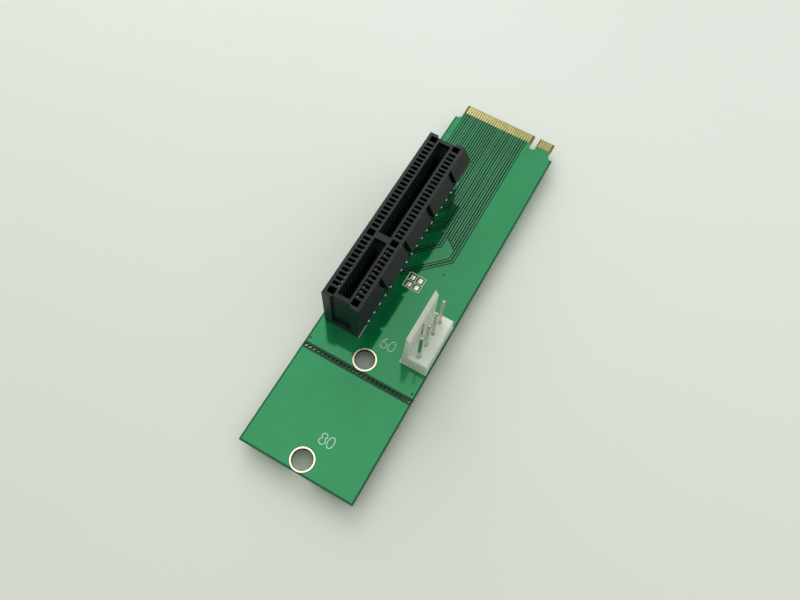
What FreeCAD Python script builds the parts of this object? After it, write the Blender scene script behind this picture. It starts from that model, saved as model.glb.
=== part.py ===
import FreeCAD, Part
import math
import os
import re

import Sketcher

# Adapter card: a gumstick edge connector at one end of a narrow board, a four-lane card slot along its
# left side and a four-pin power header at its right edge. The card lies flat, standing on its soldered tails.
# Frame: origin under the middle of the board, level with the tail ends, +Y toward the edge connector, +Z up.
# Places along the card are distances from the connector edge. All sizes are in millimetres.

SIZES = {
    # Board outline
    "board_width": 22.0,
    "board_length": 82.6,
    "board_thickness": 0.8,
    "tab_width": 19.85,
    "shoulder_depth": 4.0,
    "shoulder_fillet": 0.8,
    "edge_bevel": 0.15,
    "notch_width": 1.2,
    "notch_depth": 3.5,
    "notch_shift": 0.125,
    # Copper on the faces
    "copper_thickness": 0.035,
    "finger_pitch": 0.5,
    "finger_width": 0.35,
    "finger_inset": 0.25,
    "finger_length_top": 2.0,
    "finger_length_bottom": 2.4,
    "finger_side_margin": 0.45,
    "fingers_right_of_key": 5,
    "fingers_lost_to_key": 4,
    "trace_width": 0.3,
    "trace_slot_cover": 2.2,
    "trace_wall_gap": 0.33,
    "single_bend_distance": 22.6,
    "single_bend_step": 4.9,
    "pair_bend_distance": 24.5,
    "pair_bend_step": 4.1,
    "last_pair_distance": 34.65,
    "via_distance": 30.6,
    "via_step": 0.4,
    "jumper_pad_size": 0.95,
    "jumper_pitch": 1.6,
    "jumper_distance": 42.25,
    "jumper_offset": 0.2,
    # Screw holes and break line
    "screw_hole_diameter": 3.55,
    "screw_land_diameter": 4.4,
    "plating_thickness": 0.16,
    "plating_clearance": 0.02,
    "screw_distance_short": 60.0,
    "screw_distance_long": 80.3,
    "break_distance": 62.7,
    "bite_diameter": 0.56,
    "bite_pitch": 0.8,
    "bite_margin": 0.2,
    # Card slot housing
    "slot_edge_distance": 4.41,
    "slot_key_distance": 42.75,
    "slot_base_width": 6.84,
    "slot_top_width": 7.2,
    "slot_height": 11.2,
    "slot_end_margin": 2.75,
    "key_gap": 1.5,
    "key_thickness": 1.3,
    "contact_pitch": 1.0,
    "near_contacts": 11,
    "far_contacts": 21,
    "groove_width": 1.8,
    "groove_floor": 2.6,
    "groove_end_wall": 0.75,
    "lead_in_width": 2.4,
    "lead_in_depth": 0.55,
    "chamber_inner_reach": 1.62,
    "chamber_outer_reach": 3.0,
    "chamber_length": 0.65,
    "chamber_floor": 1.6,
    "window_top": 9.7,
    "end_recess_depth": 0.5,
    "end_recess_width": 3.4,
    "end_recess_flare": 0.25,
    "end_recess_floor": 1.5,
    "blind_pocket_length": 1.3,
    "blind_pocket_depth": 3.0,
    "blind_pocket_margin": 1.3,
    "ledge_reach": 1.5,
    "ledge_drop": 2.9,
    "ledge_lip": 0.25,
    "ledge_root": 0.5,
    "ledge_slit_width": 1.1,
    "ledge_slit_pitch": 8.45,
    "ledge_slit_margin": 6.25,
    "ledge_slit_count": 4,
    # Slot contacts
    "strip_thickness": 0.3,
    "strip_width": 0.45,
    "inner_tail_reach": 1.25,
    "outer_tail_reach": 3.25,
    "tail_clearance": 0.1,
    "tail_drop": 2.3,
    "inner_bend_height": 2.2,
    "outer_bend_height": 0.5,
    "spring_root_reach": 2.7,
    "spring_belly_reach": 2.4,
    "spring_belly_height": 4.2,
    "touch_reach": 0.75,
    "touch_height": 7.4,
    "tip_reach": 1.85,
    "tip_height": 9.4,
    # Power header
    "header_pins": 4,
    "header_pitch": 2.54,
    "header_edge_distance": 2.67,
    "header_distance": 51.95,
    "header_back_reach": 2.73,
    "header_front_reach": 2.17,
    "header_base_height": 3.2,
    "header_chamfer": 0.2,
    "wall_foot_thickness": 1.15,
    "wall_lean": 0.45,
    "wall_inner_height": 10.05,
    "wall_outer_height": 11.2,
    "slit_foot_width": 0.7,
    "slit_head_width": 0.3,
    "slit_head_height": 7.9,
    "pin_width": 0.64,
    "pin_point": 0.18,
    "pin_height": 11.4,
    "pin_clearance": 0.02,
    # Soldering
    "tail_hole_width": 0.8,
    "pin_hole_width": 1.05,
    "tail_joint_width": 1.2,
    "tail_joint_tip_width": 0.7,
    "tail_joint_height": 0.85,
    "pin_joint_width": 1.9,
    "pin_joint_tip_width": 1.05,
    "pin_joint_height": 1.1,
    "solder_clearance": 0.02,
}

BOARD_TOP = "(tail_drop + board_thickness)"
EDGE_Y = "(board_length / 2)"
SHOULDER_Y = f"({EDGE_Y} - shoulder_depth)"
SLOT_X = "(slot_edge_distance - board_width / 2)"
SLOT_Y = f"({EDGE_Y} - slot_key_distance)"
SLOT_Z = f"({BOARD_TOP} + copper_thickness)"
NEAR_REACH = "(key_gap + (near_contacts - 1) * contact_pitch + slot_end_margin)"
FAR_REACH = "(key_gap + (far_contacts - 1) * contact_pitch + slot_end_margin)"
HEADER_X = "(board_width / 2 - header_edge_distance)"
HEADER_Y = f"({EDGE_Y} - header_distance)"
HEADER_LENGTH = "(header_pins * header_pitch)"
FINGER_PLACES = "(floor((tab_width - 2 * finger_side_margin - finger_width) / finger_pitch) + 1)"
RIGHT_FINGERS_X = f"((({FINGER_PLACES} - 1) / 2 - fingers_right_of_key + 1) * finger_pitch)"
NOTCH_X = f"({RIGHT_FINGERS_X} - (fingers_lost_to_key + 1) / 2 * finger_pitch + notch_shift)"

# Tails alternate between the inner and outer rows: which contact of each section comes first in a row.
FIRST_CONTACT = {
    "inner": {"near": 0, "far": 1},
    "outer": {"near": 1, "far": 0},
}
SIDES = {"left": -1, "right": 1}

document = FreeCAD.newDocument("riser_card")
sheet = document.addObject("Spreadsheet::Sheet", "sizes")
parts = []


def fill_sheet():
    for line, (alias, number) in enumerate(SIZES.items(), start=1):
        sheet.set(f"A{line}", alias)
        sheet.set(f"B{line}", str(number))
        sheet.setAlias(f"B{line}", alias)
    document.recompute()


def formula(text):
    """The formula with every size named as a cell of the sheet."""
    return re.sub(r"[a-z]\w*", lambda word: f"sizes.{word[0]}" if word[0] in SIZES else word[0], text)


def value(text):
    return float(sheet.evalExpression(formula(text)))


def new_body(label, x="0", y="0", z="0", many_solids=False):
    body = document.addObject("PartDesign::Body", label)
    body.Label = label
    body.AllowCompound = many_solids
    for axis, text in zip("xyz", (x, y, z)):
        body.setExpression(f"Placement.Base.{axis}", formula(text))
    parts.append(body)
    return body


def origin_feature(body, role):
    return next(feature for feature in body.Origin.OriginFeatures if feature.Role == role)


def new_sketch(body, name, role="XY_Plane", lift="0"):
    """A sketch on an origin plane, lifted along the plane's normal: +Z for XY, -Y for XZ, +X for YZ."""
    sketch = body.newObject("Sketcher::SketchObject", f"{body.Name}_{name}")
    sketch.AttachmentSupport = [(origin_feature(body, role), "")]
    sketch.MapMode = "FlatFace"
    sketch.setExpression("AttachmentOffset.Base.z", formula(lift))
    return sketch


def bind(sketch, kind, place, text):
    index = sketch.addConstraint(Sketcher.Constraint(kind, *place, value(text)))
    sketch.setExpression(f"Constraints[{index}]", formula(text))


def bind_point(sketch, geometry, point, spot):
    for kind, text in zip(("DistanceX", "DistanceY"), spot):
        bind(sketch, kind, (-1, 1, geometry, point), text)


def add_polygon(sketch, corners):
    first = sketch.GeometryCount
    count = len(corners)
    spots = [FreeCAD.Vector(value(x), value(y), 0) for x, y in corners]
    for start, end in zip(spots, spots[1:] + spots[:1]):
        sketch.addGeometry(Part.LineSegment(start, end), False)
    for index in range(count):
        following = first + (index + 1) % count
        sketch.addConstraint(Sketcher.Constraint("Coincident", first + index, 2, following, 1))
    for index, corner in enumerate(corners):
        bind_point(sketch, first + index, 1, corner)


def add_rectangle(sketch, x_low, x_high, y_low, y_high):
    add_polygon(sketch, [(x_low, y_low), (x_high, y_low), (x_high, y_high), (x_low, y_high)])


def add_square(sketch, x, y, width):
    half = f"({width}) / 2"
    add_rectangle(sketch, f"{x} - {half}", f"{x} + {half}", f"{y} - {half}", f"{y} + {half}")


def add_hexagon(sketch, x, y, across):
    half, corner = f"({across}) / 2", f"({across}) / 2 / cos(30 deg)"
    turn = [(half, f"{corner} / 2"), ("0", corner), (f"-{half}", f"{corner} / 2")]
    turn += [(f"-{along}", f"-{beside}") for along, beside in turn]
    add_polygon(sketch, [(f"{x} + ({along})", f"{y} + ({beside})") for along, beside in turn])


def add_circle(sketch, x, y, diameter):
    radius = f"({diameter}) / 2"
    centre = FreeCAD.Vector(value(x), value(y), 0)
    circle = sketch.addGeometry(Part.Circle(centre, FreeCAD.Vector(0, 0, 1), value(radius)), False)
    bind(sketch, "Radius", (circle,), radius)
    bind_point(sketch, circle, 3, (x, y))


def pad(body, sketch, name, length, other_length=None, both_ways=False):
    feature = body.newObject("PartDesign::Pad", f"{body.Name}_{name}")
    feature.Profile = sketch
    feature.setExpression("Length", formula(length))
    if both_ways:
        feature.SideType = "Symmetric"
    if other_length:
        feature.SideType = "Two sides"
        feature.setExpression("Length2", formula(other_length))
    document.recompute()
    return feature


def pocket(body, sketch, name, length=None, both_ways=False, along_normal=False):
    """A cut against the sketch's normal, or along it; with no length it goes right through."""
    volume = body.Shape.Volume
    feature = body.newObject("PartDesign::Pocket", f"{body.Name}_{name}")
    feature.Profile = sketch
    feature.Reversed = along_normal
    feature.Refine = False
    if length:
        feature.setExpression("Length", formula(length))
    else:
        feature.Type = "ThroughAll"
    if both_ways:
        feature.SideType = "Symmetric"
    document.recompute()
    if body.Shape.Volume >= volume:
        raise RuntimeError(f"{feature.Name} cuts nothing")
    return feature


def row(body, features, name, role, spacing, count, backward=False):
    pattern = body.newObject("PartDesign::LinearPattern", f"{body.Name}_{name}")
    pattern.Originals = features
    pattern.Direction = (origin_feature(body, role), [""])
    pattern.Mode = "Spacing"
    pattern.Refine = False
    pattern.setExpression("Offset", formula(spacing))
    pattern.setExpression("Occurrences", formula(count))
    pattern.Reversed = backward
    body.Tip = pattern
    document.recompute()
    return pattern


def dress(body, kind, name, size, chosen):
    """A fillet or chamfer on the edges of the body's tip that the test picks."""
    base = body.Tip
    names = [f"Edge{index}" for index, edge in enumerate(base.Shape.Edges, start=1) if chosen(edge)]
    feature = body.newObject(f"PartDesign::{kind}", f"{body.Name}_{name}")
    feature.Base = (base, names)
    feature.setExpression("Radius" if kind == "Fillet" else "Size", formula(size))
    document.recompute()
    return feature


def close_to(first, second):
    return abs(first - second) < 1e-4


def contact_sections(kind):
    """For one tail row: each section's name, its first contact's place along Y, its count and its way."""
    for section, way in (("near", -1), ("far", 1)):
        first = FIRST_CONTACT[kind][section]
        place = f"({way} * (key_gap + {first} * contact_pitch))"
        count = f"(floor(({section}_contacts - 1 - {first}) / 2) + 1)"
        yield section, place, count, way < 0


def make_board():
    body = new_body("circuit_board", z="tail_drop")
    half, tab, back = "board_width / 2", "tab_width / 2", f"-{EDGE_Y}"
    outline = new_sketch(body, "outline")
    right = [(half, back), (half, SHOULDER_Y), (tab, SHOULDER_Y), (tab, EDGE_Y)]
    left = [(f"-{x}", y) for x, y in reversed(right)]
    add_polygon(outline, right + left)
    pad(body, outline, "plate", "board_thickness")

    def front_edge(edge):
        at_front = all(close_to(spot.Point.y, value(EDGE_Y)) for spot in edge.Vertexes)
        return at_front and edge.Length > value("board_thickness")

    def shoulder_corner(edge):
        spot = edge.CenterOfMass
        upright = close_to(edge.Length, value("board_thickness"))
        return upright and close_to(abs(spot.x), value(tab)) and close_to(spot.y, value(SHOULDER_Y))

    dress(body, "Chamfer", "bevel", "edge_bevel", front_edge)
    dress(body, "Fillet", "shoulders", "shoulder_fillet", shoulder_corner)

    round_end = f"({EDGE_Y} - notch_depth + notch_width / 2)"
    flanks = new_sketch(body, "notch_flanks")
    add_rectangle(flanks, f"{NOTCH_X} - notch_width / 2", f"{NOTCH_X} + notch_width / 2", round_end,
                  f"{EDGE_Y} + notch_width")
    pocket(body, flanks, "notch", along_normal=True)
    end = new_sketch(body, "notch_end")
    add_circle(end, NOTCH_X, round_end, "notch_width")
    pocket(body, end, "notch_round", along_normal=True)

    screws = new_sketch(body, "screw_circles")
    barrel = "(screw_hole_diameter + 2 * plating_thickness + 2 * plating_clearance)"
    for distance in ("screw_distance_short", "screw_distance_long"):
        add_circle(screws, "0", f"{EDGE_Y} - {distance}", barrel)
    pocket(body, screws, "screw_holes", along_normal=True)

    volume = body.Shape.Volume
    holes = body.newObject("PartDesign::Boolean", "circuit_board_small_holes")
    holes.Type = "Cut"
    holes.setObjects([make_small_holes()])
    body.Tip = holes
    document.recompute()
    if body.Shape.Volume >= volume:
        raise RuntimeError("the small holes cut nothing")


def make_small_holes():
    """The board's small holes as solids in its own frame: the break line's, and those for tails and pins."""
    body = document.addObject("PartDesign::Body", "small_holes")
    body.AllowCompound = True

    def drill(name, spots, width, role, spacing, count, backward=False):
        outline = new_sketch(body, f"{name}_outline")
        for x, y in spots:
            add_hexagon(outline, x, y, width)
        first = pad(body, outline, f"{name}_first", "board_thickness")
        row(body, [first], f"{name}_row", role, spacing, count, backward)

    bites = "(floor((board_width - bite_diameter - 2 * bite_margin) / bite_pitch) + 1)"
    first_bite = (f"-({bites} - 1) / 2 * bite_pitch", f"{EDGE_Y} - break_distance")
    drill("bite", [first_bite], "bite_diameter", "X_Axis", "bite_pitch", bites)
    first_pin = (HEADER_X, f"{HEADER_Y} - (header_pins - 1) / 2 * header_pitch")
    drill("pin", [first_pin], "pin_hole_width", "Y_Axis", "header_pitch", "header_pins")
    for kind in FIRST_CONTACT:
        for section, place, count, backward in contact_sections(kind):
            reaches = [f"{SLOT_X} + {way} * {kind}_tail_reach" for way in SIDES.values()]
            spots = [(reach, f"{SLOT_Y} + {place}") for reach in reaches]
            spacing = "2 * contact_pitch"
            drill(f"{kind}_{section}", spots, "tail_hole_width", "Y_Axis", spacing, count, backward)
    return body


def make_slot_housing():
    body = new_body("slot_housing", SLOT_X, SLOT_Y, SLOT_Z)
    over = "slot_height + lead_in_depth"
    section = new_sketch(body, "section", "XZ_Plane")
    base, top = "slot_base_width / 2", "slot_top_width / 2"
    add_polygon(section, [(f"-{base}", "0"), (base, "0"), (top, "slot_height"), (f"-{top}", "slot_height")])
    pad(body, section, "block", NEAR_REACH, FAR_REACH)
    make_side_ledge(body)

    lead, side = "lead_in_width / 2", "groove_width / 2"
    lead_foot = "slot_height - lead_in_depth"
    right = [(side, "groove_floor"), (side, lead_foot), (lead, "slot_height"), (lead, over)]
    left = [(f"-{x}", y) for x, y in reversed(right)]
    for name, way, reach in (("near", 1, NEAR_REACH), ("far", -1, FAR_REACH)):
        groove = new_sketch(body, f"{name}_groove_section", "XZ_Plane", f"{way} * key_thickness / 2")
        add_polygon(groove, right + left)
        length = f"{reach} - end_recess_depth - groove_end_wall - key_thickness / 2"
        pocket(body, groove, f"{name}_groove", length, along_normal=way > 0)

    make_end_recesses(body)
    make_blind_pockets(body)
    make_chambers(body, over)


def make_chambers(body, over):
    """Pairs of contact chambers, open at the top, to the groove below its rim and down to the tails."""
    slack = "(strip_thickness / 2 + tail_clearance)"
    outer_tail = f"(outer_tail_reach + {slack})"
    inner_tail = f"(inner_tail_reach - {slack})"
    in_groove = "(groove_width / 2 - tail_clearance)"
    under = "-chamber_floor / 2"
    corners = [
        ("chamber_inner_reach", over), ("chamber_outer_reach", over),
        ("chamber_outer_reach", "chamber_floor"), (outer_tail, "chamber_floor"),
        (outer_tail, under), (inner_tail, under), (inner_tail, "groove_floor"),
        (in_groove, "groove_floor"), (in_groove, "window_top"), ("chamber_inner_reach", "window_top"),
    ]
    for name, way in (("near", 1), ("far", -1)):
        chamber = new_sketch(body, f"{name}_chamber_section", "XZ_Plane", f"{way} * key_gap")
        for side in SIDES.values():
            add_polygon(chamber, [(f"{side} * {x}", y) for x, y in corners])
        first = pocket(body, chamber, f"{name}_first_chambers", "chamber_length", both_ways=True)
        row(body, [first], f"{name}_chambers", "Y_Axis", "contact_pitch", f"{name}_contacts", way > 0)


def make_blind_pockets(body):
    """Square pockets beside the key rib and at both ends of each chamber row."""
    squares = new_sketch(body, "blind_squares", "XY_Plane", "slot_height")
    half = "blind_pocket_length / 2"
    places = ("0", f"{FAR_REACH} - blind_pocket_margin", f"blind_pocket_margin - {NEAR_REACH}")
    for place in places:
        for side in SIDES.values():
            edges = [f"{side} * chamber_inner_reach", f"{side} * chamber_outer_reach"]
            add_rectangle(squares, *edges, f"{place} - {half}", f"{place} + {half}")
    pocket(body, squares, "blind_pockets", "blind_pocket_depth")


def make_end_recesses(body):
    """An upright hollow between the corner posts of each end, a little wider at its mouth."""
    floor, mouth = "end_recess_width / 2", "(end_recess_width / 2 + end_recess_flare)"
    ends = new_sketch(body, "end_hollows", "XY_Plane", "end_recess_floor")
    for way, reach in ((1, FAR_REACH), (-1, NEAR_REACH)):
        deep, face = f"{way} * ({reach} - end_recess_depth)", f"{way} * {reach}"
        add_polygon(ends, [(f"-{floor}", deep), (floor, deep), (mouth, face), (f"-{mouth}", face)])
    pocket(body, ends, "end_recesses", along_normal=True)


def make_side_ledge(body):
    """A ledge that slopes out from the rim of the right wall and hangs clear of the board, cut by a row of slits."""
    rim = "slot_top_width / 2"
    inside = f"({rim} + chamber_outer_reach) / 2"
    outer = f"({rim} + ledge_reach)"
    lip_top = "(slot_height - ledge_drop)"
    lip_foot = f"({lip_top} - ledge_lip)"
    root = f"({lip_foot} - ledge_root)"
    slope = new_sketch(body, "ledge_section", "XZ_Plane")
    add_polygon(slope, [
        (inside, "slot_height"), (rim, "slot_height"), (outer, lip_top), (outer, lip_foot), (inside, root),
    ])
    pad(body, slope, "ledge", NEAR_REACH, FAR_REACH)

    draft = "((slot_base_width - slot_top_width) / 2 / slot_height)"
    wall = f"(slot_base_width / 2 - {draft} * {root})"
    clear = f"({outer} + ledge_lip)"
    cut = new_sketch(body, "slit_section", "XZ_Plane", f"ledge_slit_margin - {FAR_REACH}")
    add_polygon(cut, [(rim, "slot_height"), (clear, "slot_height"), (clear, root), (wall, root)])
    first = pocket(body, cut, "first_slit", "ledge_slit_width", both_ways=True)
    row(body, [first], "slits", "Y_Axis", "ledge_slit_pitch", "ledge_slit_count", backward=True)


def make_contacts(side_name, kind):
    """One row of spring strips: tail, bend, belly in the chamber, touching point and returned tip."""
    body = new_body(f"slot_contacts_{side_name}_{kind}", SLOT_X, SLOT_Y, SLOT_Z, many_solids=True)
    side = SIDES[side_name]
    tail = f"{kind}_tail_reach"
    root = [("spring_root_reach", "chamber_floor")] if kind == "outer" else []
    spring = [(f"{place}_reach", f"{place}_height") for place in ("spring_belly", "touch", "tip")]
    line = [(tail, f"-{SLOT_Z}"), (tail, f"{kind}_bend_height")] + root + spring
    outer_face = [(f"{side} * ({reach} + strip_thickness / 2)", height) for reach, height in line]
    inner_face = [(f"{side} * ({reach} - strip_thickness / 2)", height) for reach, height in reversed(line)]
    for section, place, count, backward in contact_sections(kind):
        strip = new_sketch(body, f"{section}_strip", "XZ_Plane", f"-{place}")
        add_polygon(strip, outer_face + inner_face)
        first = pad(body, strip, f"{section}_first", "strip_width", both_ways=True)
        row(body, [first], f"{section}_row", "Y_Axis", "2 * contact_pitch", count, backward)


def make_header_housing():
    body = new_body("header_housing", HEADER_X, HEADER_Y, BOARD_TOP)
    wall_face = "(wall_foot_thickness - header_back_reach)"
    profile = new_sketch(body, "profile", "XZ_Plane")
    add_polygon(profile, [
        ("-header_back_reach", "0"), ("header_front_reach", "0"),
        ("header_front_reach", "header_base_height"), (wall_face, "header_base_height"),
        (wall_face, "wall_inner_height"),
        ("wall_lean - header_back_reach", "wall_outer_height"),
    ])
    pad(body, profile, "moulding", HEADER_LENGTH, both_ways=True)

    def base_rim(edge):
        level = all(close_to(spot.Point.z, value("header_base_height")) for spot in edge.Vertexes)
        return level and edge.CenterOfMass.x > value(wall_face) + value("header_chamfer")

    dress(body, "Chamfer", "rim", "header_chamfer", base_rim)

    slit = new_sketch(body, "slit_outline", "YZ_Plane", wall_face)
    foot, head = "slit_foot_width / 2", "slit_head_width / 2"
    add_polygon(slit, [
        (f"-{foot}", "0"), (foot, "0"),
        (head, "slit_head_height"), (f"-{head}", "slit_head_height"),
    ])
    pocket(body, slit, "slit", "wall_foot_thickness")

    hole = new_sketch(body, "pin_square")
    add_square(hole, "0", "-(header_pins - 1) / 2 * header_pitch", "pin_width + 2 * pin_clearance")
    first = pocket(body, hole, "first_pin_way", "header_base_height", along_normal=True)
    row(body, [first], "pin_ways", "Y_Axis", "header_pitch", "header_pins")


def make_header_pin(number):
    """A square pin from its soldered end to its mating end, with both ends pointed."""
    place = f"{HEADER_Y} + ({number - 1} - (header_pins - 1) / 2) * header_pitch"
    body = new_body(f"header_pin_{number}", HEADER_X, place)
    length = f"{BOARD_TOP} + pin_height"
    square = new_sketch(body, "square")
    add_square(square, "0", "0", "pin_width")
    pad(body, square, "shank", length)

    def end_edge(edge):
        height = edge.CenterOfMass.z
        return close_to(height, 0) or close_to(height, value(length))

    dress(body, "Chamfer", "points", "pin_point", end_edge)


def make_screw_land(name, distance):
    """A plated hole: a thin barrel through the board with a ring on each face."""
    body = new_body(name, "0", f"{EDGE_Y} - {distance}", "tail_drop")
    bore = "screw_hole_diameter / 2"
    barrel, ring = f"({bore} + plating_thickness)", "screw_land_diameter / 2"
    low, high = "-copper_thickness", "(board_thickness + copper_thickness)"
    profile = new_sketch(body, "profile", "XZ_Plane")
    add_polygon(profile, [
        (bore, low), (ring, low), (ring, "0"), (barrel, "0"),
        (barrel, "board_thickness"), (ring, "board_thickness"), (ring, high), (bore, high),
    ])
    turned = body.newObject("PartDesign::Revolution", f"{name}_turned")
    turned.Profile = profile
    turned.ReferenceAxis = (profile, ["V_Axis"])
    document.recompute()


def make_fingers(name, level, length, lost):
    """Contact fingers on one face: a group each side of the key notch; the lower face has one place fewer."""
    body = new_body(name, z=level, many_solids=True)
    places = f"({FINGER_PLACES} - {lost})"
    right = f"(fingers_right_of_key - {lost})"
    left = f"({places} - {right} - fingers_lost_to_key)"
    first_x = f"(-({places} - 1) / 2 * finger_pitch)"
    right_x = f"(({places} - 1) / 2 * finger_pitch - ({right} - 1) * finger_pitch)"
    front = f"{EDGE_Y} - finger_inset"
    for side, start, count in (("left", first_x, left), ("right", right_x, right)):
        finger = new_sketch(body, f"{side}_finger")
        edges = [f"{start} - finger_width / 2", f"{start} + finger_width / 2"]
        add_rectangle(finger, *edges, f"{front} - {length}", front)
        first = pad(body, finger, f"{side}_first", "copper_thickness")
        row(body, [first], f"{side}_group", "X_Axis", "finger_pitch", count)


def make_jumper_pads():
    place = ("jumper_offset", f"{EDGE_Y} - jumper_distance", BOARD_TOP)
    body = new_body("jumper_pads", *place, many_solids=True)
    squares = new_sketch(body, "squares")
    for column in (-1, 1):
        for line in (-1, 1):
            spot = [f"{way} * jumper_pitch / 2" for way in (column, line)]
            add_square(squares, *spot, "jumper_pad_size")
    pad(body, squares, "pads", "copper_thickness")


def strip_outline(line, width):
    """Both sides of a flat strip along a line of points, with mitred bends."""
    ways = [(after - before).normalize() for before, after in zip(line, line[1:])]
    normals = [FreeCAD.Vector(-way.y, way.x, 0) for way in ways]
    before = normals[:1] + normals
    after = normals + normals[-1:]
    shifts = [(a + b) * (width / 2 / (1 + a.dot(b))) for a, b in zip(before, after)]
    one_side = [spot + shift for spot, shift in zip(line, shifts)]
    other_side = [spot - shift for spot, shift in zip(line, shifts)]
    return one_side + other_side[::-1]


# Top fingers by the way their traces take: pairs and single lines that bend into the slot's side.
# Those left of the slot's right wall run straight under it, the others end at vias.
BENT_PAIRS = ((14, 15), (17, 18), (19, 20))
LAST_PAIR = (26, 27)
BENT_SINGLES = (13, 16)


def bend_distance(index):
    """Where the trace of a finger turns toward the slot, or nothing for one that doesn't turn."""
    lag = math.tan(math.radians(22.5)) * value("finger_pitch")
    for order, pair in enumerate(BENT_PAIRS):
        if index in pair:
            return value(f"pair_bend_distance + {order} * pair_bend_step") + lag * pair.index(index)
    if index in LAST_PAIR:
        return value("last_pair_distance") + lag * LAST_PAIR.index(index)
    if index in BENT_SINGLES:
        return value(f"single_bend_distance + {BENT_SINGLES.index(index)} * single_bend_step")
    return None


def trace_line(index):
    """The middle line of the trace from one top finger."""
    x = value(f"({index} - ({FINGER_PLACES} - 1) / 2) * finger_pitch")
    start = value(f"{EDGE_Y} - finger_inset - finger_length_top")
    wall = value(f"{SLOT_X} + slot_base_width / 2 + trace_wall_gap")
    distance = bend_distance(index)
    if x <= wall:
        line = [(x, start), (x, value(f"{SLOT_Y} + {FAR_REACH} - trace_slot_cover"))]
    elif distance:
        bend = value(EDGE_Y) - distance
        line = [(x, start), (x, bend), (wall, bend - (x - wall))]
    else:
        order = index - BENT_PAIRS[-1][-1] - 1
        line = [(x, start), (x, value(f"{EDGE_Y} - via_distance - {order} * via_step"))]
    return [FreeCAD.Vector(*spot, 0) for spot in line]


def make_traces():
    """The bundle of lines between the fingers and the slot, each a flat strip of copper under the mask."""
    thickness = FreeCAD.Vector(0, 0, value("copper_thickness"))
    strips = []
    for index in range(LAST_PAIR[-1] + 1):
        outline = strip_outline(trace_line(index), value("trace_width"))
        face = Part.Face(Part.makePolygon(outline + outline[:1]))
        strips.append(face.extrude(thickness))
    bundle = document.addObject("Part::Feature", "signal_traces")
    bundle.Label = "signal_traces"
    bundle.Shape = Part.makeCompound(strips)
    bundle.setExpression("Placement.Base.z", formula(BOARD_TOP))
    parts.append(bundle)


def cone(body, name, x, y, kind):
    """A four-sided solder cone hanging from the lower face, narrowing downward."""
    feature = body.newObject("PartDesign::AdditiveWedge", f"{body.Name}_{name}")
    feature.AttachmentSupport = [(origin_feature(body, "XZ_Plane"), "")]
    feature.MapMode = "FlatFace"
    feature.setExpression("AttachmentOffset.Base.x", formula(x))
    feature.setExpression("AttachmentOffset.Base.z", formula(f"-({y})"))
    feature.setExpression("Ymin", formula(f"-{kind}_joint_height"))
    feature.setExpression("Ymax", formula("0"))
    for side, width in (("", f"{kind}_joint_tip_width"), ("2", f"{kind}_joint_width")):
        for axis in "XZ":
            feature.setExpression(f"{axis}{side}min", formula(f"-{width} / 2"))
            feature.setExpression(f"{axis}{side}max", formula(f"{width} / 2"))
    document.recompute()
    return feature


def add_joints(body, name, spots, kind, tail, spacing, count, backward=False):
    """Solder cones, each with a way through for its tail, repeated along Y."""
    cones = [cone(body, f"{name}_cone_{number}", x, y, kind) for number, (x, y) in enumerate(spots, start=1)]
    way = new_sketch(body, f"{name}_way")
    tail_x, tail_y = tail
    for x, y in spots:
        add_rectangle(way, f"{x} - {tail_x}", f"{x} + {tail_x}", f"{y} - {tail_y}", f"{y} + {tail_y}")
    ways = pocket(body, way, f"{name}_ways", f"{kind}_joint_height")
    row(body, cones + [ways], f"{name}_row", "Y_Axis", spacing, count, backward)


def make_solder():
    def half_way(width):
        return f"({width} / 2 + solder_clearance)"

    slot = new_body("slot_solder", SLOT_X, SLOT_Y, "tail_drop", many_solids=True)
    tail = (half_way("strip_thickness"), half_way("strip_width"))
    for kind in FIRST_CONTACT:
        for section, place, count, backward in contact_sections(kind):
            spots = [(f"{way} * {kind}_tail_reach", place) for way in SIDES.values()]
            add_joints(slot, f"{kind}_{section}", spots, "tail", tail, "2 * contact_pitch", count, backward)
    header = new_body("header_solder", HEADER_X, HEADER_Y, "tail_drop", many_solids=True)
    first_pin = ("0", "(-(header_pins - 1) / 2 * header_pitch)")
    pin = (half_way("pin_width"), half_way("pin_width"))
    add_joints(header, "pins", [first_pin], "pin", pin, "header_pitch", "header_pins")


def main():
    fill_sheet()
    make_board()
    make_slot_housing()
    for side_name in SIDES:
        for kind in FIRST_CONTACT:
            make_contacts(side_name, kind)
    make_header_housing()
    for number in range(1, SIZES["header_pins"] + 1):
        make_header_pin(number)
    make_screw_land("screw_land_short", "screw_distance_short")
    make_screw_land("screw_land_long", "screw_distance_long")
    make_fingers("edge_fingers_top", BOARD_TOP, "finger_length_top", 0)
    make_fingers("edge_fingers_bottom", "tail_drop - copper_thickness", "finger_length_bottom", 1)
    make_jumper_pads()
    make_traces()
    make_solder()
    document.recompute()
    check_and_write()


def check_and_write():
    for item in document.Objects:
        if "Invalid" in item.State or "Error" in item.State:
            raise RuntimeError(f"{item.Name} failed: {item.State}")
    for part in parts:
        if part.Shape.isNull() or not part.Shape.isValid():
            raise RuntimeError(f"{part.Label} has no sound shape")
    os.makedirs("parts", exist_ok=True)
    for part in parts:
        part.Shape.exportStep(f"parts/{part.Label}.step")


main()
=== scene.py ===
import math

import bmesh
import bpy
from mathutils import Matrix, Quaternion, Vector


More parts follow.
